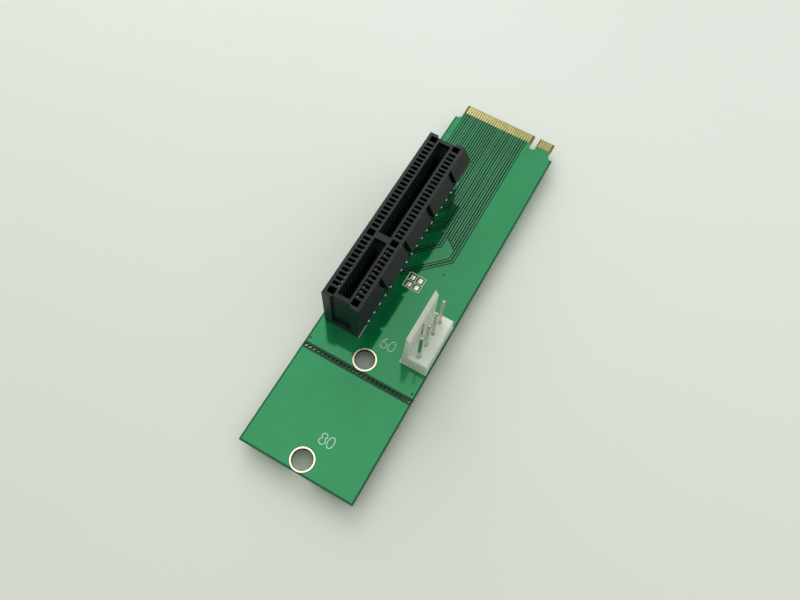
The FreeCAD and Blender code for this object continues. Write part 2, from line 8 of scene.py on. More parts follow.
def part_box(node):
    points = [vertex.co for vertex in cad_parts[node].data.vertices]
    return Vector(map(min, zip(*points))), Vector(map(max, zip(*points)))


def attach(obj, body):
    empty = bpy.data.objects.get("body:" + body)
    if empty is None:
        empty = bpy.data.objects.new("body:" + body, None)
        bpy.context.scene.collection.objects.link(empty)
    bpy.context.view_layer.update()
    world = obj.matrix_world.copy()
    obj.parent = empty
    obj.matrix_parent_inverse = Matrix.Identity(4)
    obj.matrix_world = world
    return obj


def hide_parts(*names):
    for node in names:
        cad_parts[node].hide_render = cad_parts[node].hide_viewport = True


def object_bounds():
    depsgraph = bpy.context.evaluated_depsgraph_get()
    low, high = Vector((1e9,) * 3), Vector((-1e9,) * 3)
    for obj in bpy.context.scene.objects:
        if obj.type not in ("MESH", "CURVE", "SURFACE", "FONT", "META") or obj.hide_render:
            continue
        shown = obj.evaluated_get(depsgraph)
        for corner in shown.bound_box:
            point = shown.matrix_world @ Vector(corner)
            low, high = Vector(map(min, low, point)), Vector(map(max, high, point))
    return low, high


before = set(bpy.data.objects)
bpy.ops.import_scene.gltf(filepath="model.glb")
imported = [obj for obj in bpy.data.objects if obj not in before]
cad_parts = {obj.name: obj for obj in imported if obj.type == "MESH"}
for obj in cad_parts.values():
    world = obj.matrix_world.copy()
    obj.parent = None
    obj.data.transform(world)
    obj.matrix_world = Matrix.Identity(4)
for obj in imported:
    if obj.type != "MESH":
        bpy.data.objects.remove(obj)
CAD_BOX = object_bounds()

# Looks of a narrow green adapter card that lies on a pale table, seen from above its snap-off end.
# A place on the card is in millimetres: x across it, from its middle, and a distance from the fingers' edge.

MM = 0.001
BODY = "root"

BOARD_LOW, BOARD_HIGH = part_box("circuit_board")
SLOT_LOW, SLOT_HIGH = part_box("slot_housing")
HEADER_LOW, HEADER_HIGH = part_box("header_housing")
TOP = BOARD_HIGH.z
UNDERSIDE = BOARD_LOW.z
EDGE_Y = BOARD_HIGH.y

# The viewer, the room, its window and the table
CAMERA_PLACE = Vector((22.565 * MM, -57.476 * MM, TOP + 121.406 * MM))
CAMERA_AIM = Vector((-0.328 * MM, -5.45 * MM, TOP))
CAMERA_ROLL = math.radians(6.17)
CAMERA_LENS = 32.97
CAMERA_SENSOR = 36
CAMERA_NEAREST = 1 * MM

ROOM_TINT = (0.98, 1.0, 0.97, 1.0)
ROOM_BRIGHT_SIDE = Vector((-0.1, -0.02, 1.0)).normalized()
ROOM_DARK = 0.2
ROOM_LIGHT = 1.24
ROOM_DIM_SIDE = Vector((0.3, -1.0, 0.0)).normalized()
ROOM_DIM_SHARE = 0.35

WINDOW_SIDE = Vector((-0.7, 0.85, 0.55)).normalized()
WINDOW_DISTANCE = 1.6
WINDOW_SIZE = 1.3
WINDOW_POWER = 13.3

TABLE_HALF = 1.5
# The table's painted shade: none at the far y, half strength at the near y, in metres.
TABLE_SHADE_FAR = 0.06
TABLE_SHADE_NEAR = -0.08

# The board's rim without copper, its bare finger end and its snap-off line, in millimetres
EDGE_BAND = 0.28
EDGE_BLUR = 0.05
FINGER_ZONE = 2.3
FINGER_BLUR = 0.06
BREAK_DISTANCE = 62.7
BREAK_HALF_BAND = 0.68
BREAK_BAND_INSIDE = 0.12
BREAK_BAND_OUTSIDE = 0.08
BREAK_HALF_CORE = 0.24
BREAK_CORE_BLUR = 0.1
BREAK_WOBBLE = 0.06

# The card slot: its walls, groove and contacts
SLOT_HALF_TOP = 3.6 * MM
SLOT_HALF_FOOT = 3.42 * MM
SLOT_X = SLOT_LOW.x + SLOT_HALF_TOP
SLOT_ROUNDING = 0.06 * MM
SLOT_KEY_DISTANCE = 42.75
KEY_GAP = 1.5
FAR_CONTACTS = 21
NEAR_CONTACTS = 11
# The groove's bounds and depths below place the painted light deep in the groove.
GROOVE_HALF = 0.9 * MM
GROOVE_MARGIN = 0.05 * MM
GROOVE_END = 1.1 * MM
GROOVE_DEEP = 2.5 * MM
GROOVE_SHALLOW = 0.6 * MM
TAIL_REACHES = {"outer": 3.25, "inner": 1.25}
CONTACT_WIDTH = 0.45
CONTACT_END_REACH = 1.85
CONTACT_END_HALF = 0.15
CONTACT_END_SHOULDER = 1.18
CONTACT_END_OVERLAP = 0.2 * MM
CONTACT_END_STEPS = 8

# The power header: its pins, and the slit in its wall whose cheeks get painted shade
HEADER_ROUNDING = 0.05 * MM
HEADER_PINS = range(1, 5)
WALL_THICKNESS = 1.15 * MM
SLIT_HALF_FOOT = 0.35 * MM
SLIT_HALF_HEAD = 0.15 * MM
SLIT_HEIGHT = 7.9 * MM
SLIT_MARGIN = 0.02 * MM

# Edges of both mouldings
ROUNDING_SEGMENTS = 2
ROUNDING_ANGLE = math.radians(40)

# Plated and soldered forms
SCREW_BORE = 1.775 * MM
SCREW_PLATING = 0.16 * MM
SCREW_INLET = 0.1 * MM
SCREW_SEGMENTS = 72
PAD_CROWN = 0.03 * MM
PAD_FLATNESS = 4
PAD_STEPS = 8
TAIL_PAD_RADIUS = 0.37 * MM
TAIL_PAD_RISE = 0.08 * MM
TAIL_PAD_DOME = ((1, 0), (0.92, 0.4), (0.7, 0.75), (0.4, 0.95), (0, 1))
TAIL_JOINT_RADIUS = 0.6 * MM
TAIL_RADIUS = 0.3 * MM
PIN_JOINT_RADIUS = 0.95 * MM
PIN_RADIUS = 0.5 * MM
JOINT_HOLLOW = 2.2
JOINT_STEPS = 7
JOINT_SEGMENTS = 16

# Gaps in the copper round traces, pads and screw lands
TRACE_CLEARANCE = 0.2 * MM
PAD_CLEARANCE = 0.16 * MM
RING_CLEARANCE = 0.09 * MM
CLEARANCE_THICKNESS = 0.008 * MM
CLEARANCE_STAGGER = 0.25

# Plated holes under the mask: three single ones and a slanting row
VIA_PLACES = ((-10.43, 61.2), (10.26, 61.3), (4.2, 38.2))
VIA_ROW_START = (1.25, 30.6)
VIA_ROW_STEP = (0.5, 0.4)
VIA_ROW_COUNT = 5
VIA_RADIUS = 0.22 * MM
VIA_HOLE = 0.09 * MM
VIA_RISE = 0.03 * MM

# White print
INK_THICKNESS = 0.014 * MM
INK_WIDTH = 0.2 * MM
SLOT_INK_WIDTH = 0.15 * MM
HEADER_INK_WIDTH = 0.16 * MM
DIGIT_INK_WIDTH = 0.14 * MM
PRINT_GAP = 0.12
PRINT_END_GAP = 0.8
JUMPER_FRAME_LEFT, JUMPER_FRAME_RIGHT = -1.43, 1.86
JUMPER_FRAME_FAR, JUMPER_FRAME_NEAR = 40.64, 43.8
SHORT_LENGTH_PLACE = (2.2, 55.5)
LONG_LENGTH_PLACE = (1.9, 75.6)
DIGIT_WIDTH = 1.15
DIGIT_HEIGHT = 2.0
DIGIT_PITCH = 1.45

# Fineness of the cloudy patterns, in cycles per metre
MASK_CLOUDS = 140
MASK_POLISH = 420
MASK_RIPPLE = 900
BREAK_WAVER = 2600
BREAK_FIBRE = 3000
FINGER_FIBRE = 900
SIDE_FIBRE = 1800
MOULD_CLOUDS = 260
MOULD_POLISH = 1200
SLOT_GRAIN = 9000
HEADER_GRAIN = 7000
PLATE_CLOUDS = 700
PLATE_POLISH = 2600
PLATE_STREAKS = 5200
INK_SPECKS = 5200
INK_GRAIN = 6000
TABLE_CLOUDS = 16
TABLE_POLISH = 300
TABLE_GRAIN = 1400

# The board's weave, the contrast of clouds and the shine of copper under the mask
WEAVE_ACROSS = 0.42 * MM
WEAVE_ALONG = 0.5 * MM
CLOUD_LOW, CLOUD_HIGH = 0.3, 0.7
COPPER_SHINE = 0.42

# What counts as an upper or a level face, a sharp corner, one corner and one flat face
UPPER_FACE = 0.9
LEVEL_FACE = 0.6
MITRE_LIMIT = 0.3
WELD_DISTANCE = 0.0005 * MM
FLAT_ANGLE = math.radians(1)


def srgb(red, green, blue):
    """A colour given as 0 to 255 screen values, as linear light."""
    def light(level):
        level = level / 255
        return level / 12.92 if level <= 0.04045 else ((level + 0.055) / 1.055) ** 2.4

    return (light(red), light(green), light(blue), 1.0)


def along(distance):
    """The frame's Y of a distance in millimetres from the fingers' edge."""
    return EDGE_Y - distance * MM


class Graph:
    """A material's node tree, with short calls for the nodes used here."""

    def __init__(self, name, roughness=0.5, metallic=0.0):
        self.material = bpy.data.materials.new(name)
        self.material.use_nodes = True
        self.tree = self.material.node_tree
        self.shader = self.tree.nodes["Principled BSDF"]
        self.shader.inputs["Roughness"].default_value = roughness
        self.shader.inputs["Metallic"].default_value = metallic
        self.place = self.node("ShaderNodeTexCoord").outputs["Object"]

    def node(self, kind, **settings):
        made = self.tree.nodes.new(kind)
        for name, setting in settings.items():
            setattr(made, name, setting)
        return made

    def feed(self, socket, source):
        if isinstance(source, bpy.types.NodeSocket):
            self.tree.links.new(source, socket)
        else:
            socket.default_value = source

    def noise(self, scale, detail=3.0, stretch=(1, 1, 1)):
        """Cloudy noise from 0 to 1; scale is in cycles per metre."""
        mapping = self.node("ShaderNodeMapping")
        mapping.inputs["Scale"].default_value = stretch
        self.feed(mapping.inputs["Vector"], self.place)
        made = self.node("ShaderNodeTexNoise")
        made.inputs["Scale"].default_value = scale
        made.inputs["Detail"].default_value = detail
        self.feed(made.inputs["Vector"], mapping.outputs["Vector"])
        return made.outputs["Fac"]

    def clouds(self, scale, stretch=(1, 1, 1)):
        """Noise with clearer lights and darks, from 0 to 1."""
        return self.ranged(self.noise(scale, stretch=stretch), 0.0, 1.0, CLOUD_LOW, CLOUD_HIGH)

    def bands(self, period, direction):
        """Even bands across one axis, from 0 to 1; at scale 1 the period is a twentieth of a full turn."""
        made = self.node("ShaderNodeTexWave", bands_direction=direction)
        made.inputs["Scale"].default_value = math.tau / 20 / period
        self.feed(made.inputs["Vector"], self.place)
        return made.outputs["Fac"]

    def math(self, operation, first, second=0.0):
        made = self.node("ShaderNodeMath", operation=operation)
        for socket, source in zip(made.inputs, (first, second)):
            self.feed(socket, source)
        return made.outputs["Value"]

    def ranged(self, source, low, high, start=0.0, end=1.0):
        """The source stretched from start..end to low..high, held at both ends."""
        made = self.node("ShaderNodeMapRange")
        for name, number in (("From Min", start), ("From Max", end), ("To Min", low), ("To Max", high)):
            made.inputs[name].default_value = number
        self.feed(made.inputs["Value"], source)
        return made.outputs["Result"]

    def mix(self, factor, first, second):
        """The first colour where the factor is 0, the second where it is 1."""
        made = self.node("ShaderNodeMix", data_type="RGBA")
        self.feed(made.inputs[0], factor)
        self.feed(made.inputs[6], first)
        self.feed(made.inputs[7], second)
        return made.outputs[2]

    def axis(self, name):
        split = self.node("ShaderNodeSeparateXYZ")
        self.feed(split.inputs["Vector"], self.place)
        return split.outputs[name]

    def facing_up(self):
        """1 on level faces, 0 on upright ones."""
        split = self.node("ShaderNodeSeparateXYZ")
        self.feed(split.inputs["Vector"], self.node("ShaderNodeNewGeometry").outputs["Normal"])
        return self.math("GREATER_THAN", self.math("ABSOLUTE", split.outputs["Z"]), LEVEL_FACE)

    def colour(self, source):
        self.feed(self.shader.inputs["Base Color"], source)

    def roughness(self, source):
        self.feed(self.shader.inputs["Roughness"], source)

    def bump(self, height, distance, strength):
        made = self.node("ShaderNodeBump")
        made.inputs["Strength"].default_value = strength
        made.inputs["Distance"].default_value = distance
        self.feed(made.inputs["Height"], height)
        self.feed(self.shader.inputs["Normal"], made.outputs["Normal"])


def mask_graph(name, light, dark, copper, gloss=1.0):
    """Glossy green mask: clear gloss over tinted copper, weave and clouds; gives the graph and tone."""
    graph = Graph(name, metallic=copper)
    graph.shader.inputs["Specular IOR Level"].default_value = 0.0
    graph.shader.inputs["Coat Weight"].default_value = gloss
    graph.shader.inputs["Coat Roughness"].default_value = 0.05
    tone = graph.mix(graph.clouds(MASK_CLOUDS), light, dark)
    weave = graph.math("MULTIPLY", graph.bands(WEAVE_ACROSS, "X"), graph.bands(WEAVE_ALONG, "Y"))
    tone = graph.mix(graph.math("MULTIPLY", weave, 0.12), tone, srgb(10, 84, 44))
    graph.roughness(graph.ranged(graph.noise(MASK_POLISH), low=0.08, high=0.15))
    ripple = graph.math("ADD", weave, graph.math("MULTIPLY", graph.noise(MASK_RIPPLE), 1.5))
    graph.bump(ripple, distance=0.001 * MM, strength=0.5)
    return graph, tone


def mask_material(name, light, dark, copper, gloss=1.0):
    """Plain mask, the same all over."""
    graph, tone = mask_graph(name, light, dark, copper, gloss)
    graph.colour(tone)
    return graph.material


def board_material(light, dark, copper):
    """The board: masked copper, a dark rim, a break line whose core has fibre colour darkened as painted
    shade of its holes, bare fibre at the fingers and cut edges.
    """
    graph, tone = mask_graph("mask_over_copper", light, dark, copper)
    wobble = graph.ranged(graph.noise(BREAK_WAVER), low=-BREAK_WOBBLE * MM, high=BREAK_WOBBLE * MM)

    rim_x = BOARD_HIGH.x - EDGE_BAND * MM
    rim_y = BOARD_LOW.y + EDGE_BAND * MM
    beyond_side = graph.math("SUBTRACT", graph.math("ABSOLUTE", graph.axis("X")), rim_x)
    beyond_end = graph.math("SUBTRACT", rim_y, graph.axis("Y"))
    beyond = graph.math("MAXIMUM", beyond_side, beyond_end)
    rim = graph.ranged(beyond, 0.0, 0.85, -EDGE_BLUR * MM, EDGE_BLUR * MM)
    tone = graph.mix(rim, tone, srgb(18, 76, 46))

    offset = graph.math("ABSOLUTE", graph.math("SUBTRACT", graph.axis("Y"), along(BREAK_DISTANCE)))
    offset = graph.math("ADD", offset, wobble)
    band_start = (BREAK_HALF_BAND - BREAK_BAND_INSIDE) * MM
    band_end = (BREAK_HALF_BAND + BREAK_BAND_OUTSIDE) * MM
    band = graph.ranged(offset, 0.9, 0.0, band_start, band_end)
    core_start = (BREAK_HALF_CORE - BREAK_CORE_BLUR) * MM
    core_end = (BREAK_HALF_CORE + BREAK_CORE_BLUR) * MM
    core = graph.ranged(offset, 0.9, 0.0, core_start, core_end)
    tone = graph.mix(band, tone, srgb(24, 66, 42))
    # The break line's core: laminate fibre colour, darkened as painted shade where the row of small holes
    # lies in shadow.
    fibre = graph.mix(graph.noise(BREAK_FIBRE), srgb(38, 56, 38), srgb(72, 82, 58))
    tone = graph.mix(core, tone, fibre)

    bare_start = along(FINGER_ZONE + FINGER_BLUR)
    bare_end = along(FINGER_ZONE - FINGER_BLUR)
    bare = graph.ranged(graph.axis("Y"), 0.0, 1.0, bare_start, bare_end)
    laminate = graph.mix(graph.noise(FINGER_FIBRE, stretch=(3, 1, 1)), srgb(138, 124, 76), srgb(114, 102, 60))
    tone = graph.mix(bare, tone, laminate)

    side = graph.mix(graph.noise(SIDE_FIBRE, stretch=(1, 1, 6)), srgb(30, 78, 44), srgb(64, 92, 50))
    graph.colour(graph.mix(graph.facing_up(), side, tone))
    cover = graph.math("SUBTRACT", 1.0, graph.math("MAXIMUM", bare, graph.math("MAXIMUM", band, rim)))
    graph.feed(graph.shader.inputs["Metallic"], graph.math("MULTIPLY", cover, copper))
    graph.feed(graph.shader.inputs["Coat Weight"], graph.ranged(cover, low=0.2, high=1.0))
    return graph.material


def moulded_graph(name, light, dark, grain, roughness, specular=0.5, subsurface=0.0):
    """Moulded plastic: a fine spark-eroded grain, flow clouds and uneven gloss; gives the graph and tone."""
    graph = Graph(name)
    graph.shader.inputs["Specular IOR Level"].default_value = specular
    graph.shader.inputs["Subsurface Weight"].default_value = subsurface
    graph.shader.inputs["Subsurface Scale"].default_value = 0.6 * MM
    graph.roughness(graph.ranged(graph.noise(MOULD_POLISH), low=roughness - 0.08, high=roughness + 0.1))
    graph.bump(graph.noise(grain, detail=6), distance=0.01 * MM, strength=0.35)
    tone = graph.mix(graph.clouds(MOULD_CLOUDS, stretch=(1, 0.4, 1)), light, dark)
    return graph, tone


def slot_material():
    """Black moulded plastic of the card slot, with painted light deep in its groove that grows with depth, as
    it is seen from above.
    """
    light, dark = srgb(14, 26, 26), srgb(9, 18, 18)
    graph, tone = moulded_graph("slot_plastic", light, dark, SLOT_GRAIN, roughness=0.42, specular=0.34)
    offset = graph.math("ABSOLUTE", graph.math("SUBTRACT", graph.axis("X"), SLOT_X))
    in_groove = graph.math("LESS_THAN", offset, GROOVE_HALF + GROOVE_MARGIN)
    depth = graph.ranged(graph.axis("Z"), 1.0, 0.0, SLOT_HIGH.z - GROOVE_DEEP, SLOT_HIGH.z - GROOVE_SHALLOW)
    past_near = graph.math("GREATER_THAN", graph.axis("Y"), SLOT_LOW.y + GROOVE_END)
    past_far = graph.math("LESS_THAN", graph.axis("Y"), SLOT_HIGH.y - GROOVE_END)
    within = graph.math("MULTIPLY", past_near, past_far)
    # Painted light: the groove's walls get a paler colour the deeper they lie.
    painted_groove_light = graph.math("MULTIPLY", within, graph.math("MULTIPLY", in_groove, depth))
    graph.colour(graph.mix(painted_groove_light, tone, srgb(62, 86, 90)))
    return graph.material


def header_material():
    """White moulded plastic of the power header, with painted shade between the cheeks of the slit in its
    wall.
    """
    light, dark = srgb(236, 243, 231), srgb(228, 235, 222)
    graph, tone = moulded_graph("header_plastic", light, dark, HEADER_GRAIN, roughness=0.45, subsurface=0.25)
    middle = (HEADER_LOW.y + HEADER_HIGH.y) / 2
    offset = graph.math("ABSOLUTE", graph.math("SUBTRACT", graph.axis("Y"), middle))
    edge = graph.ranged(graph.axis("Z"), SLIT_HALF_FOOT, SLIT_HALF_HEAD, TOP, TOP + SLIT_HEIGHT)
    between = graph.math("LESS_THAN", graph.math("SUBTRACT", offset, edge), SLIT_MARGIN)
    in_wall = graph.math("LESS_THAN", graph.axis("X"), HEADER_LOW.x + WALL_THICKNESS)
    below = graph.math("LESS_THAN", graph.axis("Z"), TOP + SLIT_HEIGHT)
    # Painted shade: the slit's cheeks are coloured dark where the slit lies in shadow.
    shade = graph.math("MULTIPLY", between, graph.math("MULTIPLY", in_wall, below))
    graph.colour(graph.mix(shade, tone, srgb(16, 32, 22)))
    return graph.material


def metal_material(name, light, dark, roughness, streak=(1, 1, 1), upright=None):
    """Plated metal: clouds, streaks along the drawn direction, uneven polish; upright faces may get a darker
    colour, a painted shade.
    """
    graph = Graph(name, metallic=1.0)
    tone = graph.mix(graph.clouds(PLATE_CLOUDS, stretch=streak), light, dark)
    # upright: a darker colour for upright faces, painted shade.
    if upright:
        tone = graph.mix(graph.facing_up(), upright, tone)
    graph.colour(tone)
    polish = graph.noise(PLATE_POLISH, stretch=streak)
    graph.roughness(graph.ranged(polish, low=roughness - 0.06, high=roughness + 0.08))
    graph.bump(graph.noise(PLATE_STREAKS, stretch=streak), distance=0.004 * MM, strength=0.4)
    return graph.material


def ink_material():
    """Screen-printed white ink: slightly thin and grainy, with the green showing at its specks."""
    graph = Graph("silk_ink", roughness=0.6)
    specks = graph.ranged(graph.noise(INK_SPECKS, detail=5), 0.0, 1.0, start=0.35, end=0.62)
    graph.colour(graph.mix(specks, srgb(168, 204, 180), srgb(224, 236, 224)))
    graph.bump(graph.noise(INK_GRAIN), distance=0.006 * MM, strength=0.5)
    return graph.material


def table_material():
    """Pale smooth table top with faint cloudiness, and painted shade that darkens it toward its near side."""
    graph = Graph("table_top")
    cloud = graph.mix(graph.noise(TABLE_CLOUDS), srgb(229, 234, 227), srgb(225, 230, 222))
    painted_falloff = graph.ranged(graph.axis("Y"), 0.0, 0.5, TABLE_SHADE_FAR, TABLE_SHADE_NEAR)
    # Painted shade: the table's colour darkens toward its near side.
    graph.colour(graph.mix(painted_falloff, cloud, srgb(198, 202, 186)))
    graph.roughness(graph.ranged(graph.noise(TABLE_POLISH), low=0.5, high=0.65))
    graph.bump(graph.noise(TABLE_GRAIN), distance=0.01 * MM, strength=0.25)
    return graph.material


MASK = board_material(srgb(20, 144, 85), srgb(16, 136, 78), COPPER_SHINE)
MASK_CLEARANCE = mask_material("mask_over_laminate", srgb(10, 66, 40), srgb(8, 58, 34), 0.0, gloss=0.35)
MASK_VIA = mask_material("mask_over_via", srgb(13, 88, 52), srgb(11, 80, 46), 0.1, gloss=0.6)
MASK_TRACE = mask_material("mask_over_trace", srgb(52, 134, 89), srgb(44, 124, 79), COPPER_SHINE)
SLOT_PLASTIC = slot_material()
HEADER_PLASTIC = header_material()
CONTACT_METAL = metal_material("contact_metal", srgb(120, 116, 104), srgb(88, 86, 80), 0.36,
                               streak=(1, 1, 0.2))
CONTACT_END = metal_material("contact_end_plate", srgb(240, 238, 226), srgb(214, 210, 192), 0.26)
PIN_METAL = metal_material("pin_metal", srgb(232, 234, 226), srgb(202, 204, 196), 0.14, streak=(1, 1, 0.12))
GOLD = metal_material("gold_plate", srgb(184, 180, 126), srgb(168, 161, 106), 0.2)
PAD_TIN = metal_material("pad_tin", srgb(255, 251, 226), srgb(250, 242, 210), 0.34)
# Its upright faces, the bores of the screw holes, get a dark colour: painted shade inside the holes.
PALE_GOLD = metal_material("pale_gold_plate", srgb(255, 255, 230), srgb(250, 247, 208), 0.26,
                           upright=srgb(64, 58, 42))
SOLDER = metal_material("bright_solder", srgb(226, 227, 224), srgb(188, 190, 188), 0.24)
INK = ink_material()
TABLE = table_material()

NODE_MATERIALS = {
    "circuit_board": MASK,
    "signal_traces": MASK_TRACE,
    "slot_housing": SLOT_PLASTIC,
    "slot_contacts_left_inner": CONTACT_METAL,
    "slot_contacts_left_outer": CONTACT_METAL,
    "slot_contacts_right_inner": CONTACT_METAL,
    "slot_contacts_right_outer": CONTACT_METAL,
    "slot_solder": SOLDER,
    "header_housing": HEADER_PLASTIC,
    "header_solder": SOLDER,
    "screw_land_short": PALE_GOLD,
    "screw_land_long": PALE_GOLD,
    "edge_fingers_top": GOLD,
    "edge_fingers_bottom": GOLD,
    "jumper_pads": PALE_GOLD,
}
NODE_MATERIALS.update({f"header_pin_{number}": PIN_METAL for number in HEADER_PINS})


def dress_nodes():
    """Each CAD node's own material."""
    for name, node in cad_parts.items():
        node.data.materials.clear()
        node.data.materials.append(NODE_MATERIALS[name])


def add_piece(name, builder, material, smooth=False):
    """A new piece that rides on the card, from a finished bmesh."""
    mesh = bpy.data.meshes.new(name)
    bmesh.ops.recalc_face_normals(builder, faces=builder.faces)
    builder.to_mesh(mesh)
    builder.free()
    mesh.materials.append(material)
    if smooth:
        mesh.shade_smooth()
    piece = bpy.data.objects.new(name, mesh)
    bpy.context.scene.collection.objects.link(piece)
    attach(piece, BODY)
    return piece


def node_bmesh(name):
    """A CAD node's mesh with its corners welded and its flat faces made whole."""
    builder = bmesh.new()
    builder.from_mesh(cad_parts[name].data)
    bmesh.ops.remove_doubles(builder, verts=builder.verts, dist=WELD_DISTANCE)
    bmesh.ops.dissolve_limit(builder, angle_limit=FLAT_ANGLE, verts=builder.verts, edges=builder.edges)
    return builder


def soften(name, width):
    """A moulded copy of a CAD node with small rounded edges, shown in its place."""
    piece = add_piece(f"{name}_moulded", node_bmesh(name), NODE_MATERIALS[name])
    bevel = piece.modifiers.new("rounded_edges", "BEVEL")
    bevel.width = width
    bevel.segments = ROUNDING_SEGMENTS
    bevel.limit_method = "ANGLE"
    bevel.angle_limit = ROUNDING_ANGLE
    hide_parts(name)


def join_rings(builder, rings, closed=False):
    """Faces between rings of corners; one corner makes a point, and the last ring may join the first."""
    pairs = list(zip(rings, rings[1:]))
    if closed:
        pairs.append((rings[-1], rings[0]))
    for ring, following in pairs:
        count = max(len(ring), len(following))
        for step in range(count):
            after = (step + 1) % count
            corners = [ring[step % len(ring)], ring[after % len(ring)]]
            corners += [following[after % len(following)], following[step % len(following)]]
            builder.faces.new(list(dict.fromkeys(corners)))


def join_capped(builder, rings):
    """Faces between rings of corners and across both ends."""
    join_rings(builder, rings)
    builder.faces.new(rings[0])
    builder.faces.new(rings[-1])


def mitre(before, after, width):
    """The step to the left of a corner that keeps a width from the lines before and after it."""
    turn = (before + after).normalized()
    return Vector((-turn.y, turn.x)) * (width / max(MITRE_LIMIT, turn.dot(after)))


def ribbon(builder, line, width, low, high, closed=False):
    """A flat strip along a line of (x, y) points, from one level to another, with mitred corners."""
    spots = [Vector(spot) for spot in line]
    count = len(spots)
    links = count if closed else count - 1
    steps = [(spots[(index + 1) % count] - spots[index]).normalized() for index in range(links)]
    rings = []
    for index, spot in enumerate(spots):
        if closed:
            before, after = steps[index - 1], steps[index]
        else:
            before, after = steps[max(index - 1, 0)], steps[min(index, count - 2)]
        side = mitre(before, after, width / 2)
        left, right = spot + side, spot - side
        corners = ((left, low), (left, high), (right, high), (right, low))
        rings.append([builder.verts.new((flat.x, flat.y, level)) for flat, level in corners])
    if closed:
        join_rings(builder, rings, closed)
    else:
        join_capped(builder, rings)


def slab(builder, outline, low, high):
    """A flat plate between two levels from an outline of (x, y) corners."""
    rings = [[builder.verts.new((spot.x, spot.y, level)) for spot in outline] for level in (low, high)]
    join_capped(builder, rings)


def lathe(builder, x, y, profile, segments=20, closed=False):
    """A turned form about an upright axis from (radius, level) pairs; a radius of 0 makes a point."""
    rings = []
    for radius, level in profile:
        ring = []
        for step in range(segments if radius else 1):
            angle = math.tau * step / segments
            spot = (x + radius * math.cos(angle), y + radius * math.sin(angle), level)
            ring.append(builder.verts.new(spot))
        rings.append(ring)
    join_rings(builder, rings, closed)


def ink_lines(name, lines, width=INK_WIDTH):
    """Printed lines on the upper face: each is (points in card places, closed or not)."""
    builder = bmesh.new()
    for points, closed in lines:
        line = [(x * MM, along(distance)) for x, distance in points]
        ribbon(builder, line, width, TOP, TOP + INK_THICKNESS, closed)
    add_piece(name, builder, INK)


def arc(centre, radii, start, end, steps):
    """Points on an ellipse in card places, by angles in degrees from the right, toward the fingers."""
    spots = []
    for step in range(steps + 1):
        angle = math.radians(start + (end - start) * step / steps)
        spots.append((centre[0] + radii[0] * math.cos(angle), centre[1] - radii[1] * math.sin(angle)))
    return spots


def bowl_line(centre, radii):
    """The closed bowl of a digit."""
    return arc(centre, radii, 0, 345, 24), True


def digit_lines(digit, x, distance):
    """The strokes of one printed 0, 6 or 8 about its middle."""
    half, tall = DIGIT_WIDTH / 2, DIGIT_HEIGHT / 2
    if digit == "0":
        return [(arc((x, distance), (half, tall), 0, 354, 30), True)]
    if digit == "8":
        upper, lower = DIGIT_HEIGHT * 0.23, DIGIT_HEIGHT * 0.27
        return [
            bowl_line((x, distance - tall + upper), (half * 0.84, upper)),
            bowl_line((x, distance + tall - lower), (half, lower)),
        ]
    bowl = DIGIT_HEIGHT * 0.29
    stem = arc((x + half * 0.75, distance + tall - bowl), (half * 1.75, DIGIT_HEIGHT - bowl), 105, 172, 12)
    return [(stem, False), bowl_line((x, distance + tall - bowl), (half, bowl))]


def print_number(name, digits, place):
    """A row of digits about a card place."""
    x, distance = place
    lines = []
    for index, digit in enumerate(digits):
        middle = x + (index - (len(digits) - 1) / 2) * DIGIT_PITCH
        lines += digit_lines(digit, middle, distance)
    ink_lines(name, lines, DIGIT_INK_WIDTH)


def rectangle(x_low, x_high, near, far):
    """Four corners in card places."""
    return [(x_low, near), (x_high, near), (x_high, far), (x_low, far)]


def card_place(spot):
    """A point of the frame as millimetres across the card and along it."""
    return spot.x / MM, (EDGE_Y - spot.y) / MM


def contact_places(kind):
    """Distances of one kind of contact from the fingers' edge: every second one on both sides of the key."""
    first_far, first_near = (0, 1) if kind == "outer" else (1, 0)
    far = [SLOT_KEY_DISTANCE - KEY_GAP - step for step in range(first_far, FAR_CONTACTS, 2)]
    near = [SLOT_KEY_DISTANCE + KEY_GAP + step for step in range(first_near, NEAR_CONTACTS, 2)]
    return sorted(far + near)


def print_silk():
    """The white print: slot and header outlines, jumper frame and the two length numbers."""
    wall, slot_far = card_place(Vector((SLOT_X + SLOT_HALF_FOOT, SLOT_HIGH.y, 0)))
    slot_near = card_place(SLOT_LOW)[1]
    line_x = wall + PRINT_GAP
    places = contact_places("outer")
    ends = [
        ([(line_x, places[-1] + PRINT_END_GAP), (line_x, slot_near)], False),
        ([(line_x, places[0] - PRINT_END_GAP), (line_x, slot_far)], False),
    ]
    ink_lines("slot_outline_print", ends, SLOT_INK_WIDTH)

    left, far = card_place(Vector((HEADER_LOW.x, HEADER_HIGH.y, 0)))
    right, near = card_place(Vector((HEADER_HIGH.x, HEADER_LOW.y, 0)))
    outline = rectangle(left - PRINT_GAP, right + PRINT_GAP, near + PRINT_GAP, far - PRINT_GAP)
    ink_lines("header_outline_print", [(outline, True)], HEADER_INK_WIDTH)

    left, right = JUMPER_FRAME_LEFT, JUMPER_FRAME_RIGHT
    far, near = JUMPER_FRAME_FAR, JUMPER_FRAME_NEAR
    middle_x, middle = (left + right) / 2, (far + near) / 2
    half = INK_WIDTH / MM / 2
    frame_lines = [
        (rectangle(left, right, near, far), True),
        ([(middle_x, far + half), (middle_x, near - half)], False),
        ([(left + half, middle), (middle_x - half, middle)], False),
        ([(middle_x + half, middle), (right - half, middle)], False),
    ]
    ink_lines("jumper_frame_print", frame_lines)
    print_number("length_60_print", "60", SHORT_LENGTH_PLACE)
    print_number("length_80_print", "80", LONG_LENGTH_PLACE)


